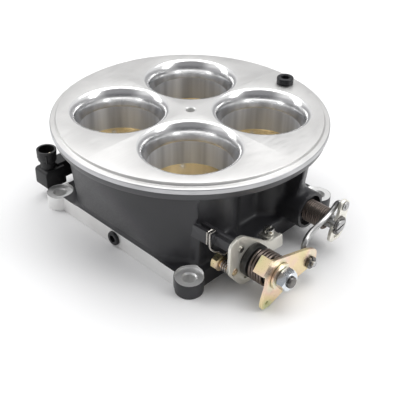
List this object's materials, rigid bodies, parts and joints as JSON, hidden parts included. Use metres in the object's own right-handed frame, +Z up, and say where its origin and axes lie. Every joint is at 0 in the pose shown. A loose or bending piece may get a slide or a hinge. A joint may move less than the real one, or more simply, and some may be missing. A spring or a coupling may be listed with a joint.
{
  "type": "throttle body",
  "caption": "Square-flange throttle body with paired bores under a round air-cleaner neck, brass blades on parallel shafts and a progressive spring-loaded linkage.",
  "frame": {"origin": "centre of the manifold face, on its plane", "axes": "+Z up out of the manifold face, along the bores; +X towards the linkage; -Y towards the primary shaft's side"},
  "size_m": [0.223, 0.194, 0.086],
  "materials": {
    "cast_body": "satin black coat on the outside, bare machined aluminium on top, in the bores and on the flange's edge",
    "port_plug": "black oxide",
    "bearing": "ground steel",
    "seal": "matte",
    "zinc": "bright zinc plate",
    "yellow_zinc": "yellow chromate zinc plate",
    "screw_steel": "plated steel",
    "spring_steel": "drawn wire",
    "bronze_spring": "oil-tempered wire, dark brown",
    "dark_shaft": "dark ground steel",
    "steel_shaft": "bright steel",
    "blade": "rolled brass sheet",
    "sensor_plastic": "moulded, slightly rough",
    "black_bushing": "smooth",
    "terminal": "tinned"
  },
  "bodies": {
    "housing": {"main_body": "cast_body", "top_port_plug": "port_plug", "front_port_plug": "port_plug", "primary_bearing_left": "bearing", "primary_bearing_right": "bearing", "primary_seal_left": "seal", "primary_seal_right": "seal", "secondary_bearing_left": "bearing", "secondary_bearing_right": "bearing", "secondary_seal_right": "seal", "secondary_end_plug": "zinc", "tps_housing": "sensor_plastic", "tps_terminal_1": "terminal", "tps_terminal_2": "terminal", "tps_terminal_3": "terminal", "tps_screw_1": "screw_steel", "tps_screw_2": "screw_steel", "primary_return_spring": "spring_steel", "return_spring_bushing": "black_bushing", "secondary_return_spring": "bronze_spring"},
    "primary": {"primary_shaft": "dark_shaft", "primary_blade_left": "blade", "primary_blade_right": "blade", "primary_blade_screw_1": "screw_steel", "primary_blade_screw_2": "screw_steel", "primary_blade_screw_3": "screw_steel", "primary_blade_screw_4": "screw_steel", "tps_rotor": "sensor_plastic", "throttle_lever": "zinc", "cable_stud": "screw_steel", "idle_screw": "screw_steel", "idle_screw_nut": "zinc", "lever_bolt": "yellow_zinc", "lever_bolt_spring": "spring_steel", "spring_bushing": "black_bushing", "pickup_spring": "bronze_spring", "link_lever": "yellow_zinc", "lock_washer": "yellow_zinc", "shaft_nut": "zinc"},
    "secondary": {"secondary_shaft": "steel_shaft", "secondary_blade_left": "blade", "secondary_blade_right": "blade", "secondary_blade_screw_1": "screw_steel", "secondary_blade_screw_2": "screw_steel", "secondary_blade_screw_3": "screw_steel", "secondary_blade_screw_4": "screw_steel", "secondary_lever": "zinc", "secondary_lever_clip": "dark_shaft", "rod_end_pin": "steel_shaft"},
    "rod": {"link_rod": "steel_shaft", "link_rod_clip": "dark_shaft"}
  },
  "joints": [
    {"name": "primary_throttle", "type": "hinge", "parent": "housing", "child": "primary", "pos_m": [0, -0.035, 0.021], "axis": [1, 0, 0], "range_deg": [0, 75], "stiffness_Nm_per_rad": 0.25, "springref_deg": -68.75},
    {"name": "secondary_throttle", "type": "hinge", "parent": "housing", "child": "secondary", "pos_m": [0, 0.035, 0.021], "axis": [1, 0, 0], "range_deg": [0, 76]},
    {"name": "link_rod_pivot", "type": "hinge", "parent": "primary", "child": "rod", "pos_m": [0.114, -0.0035, 0.014], "axis": [1, 0, 0], "range_deg": [-126, 0]}
  ],
  "couplings": [
    {"joint": "secondary_throttle", "follows": "primary_throttle", "ratio": 1},
    {"joint": "link_rod_pivot", "follows": "primary_throttle", "ratio": -1.671}
  ]
}
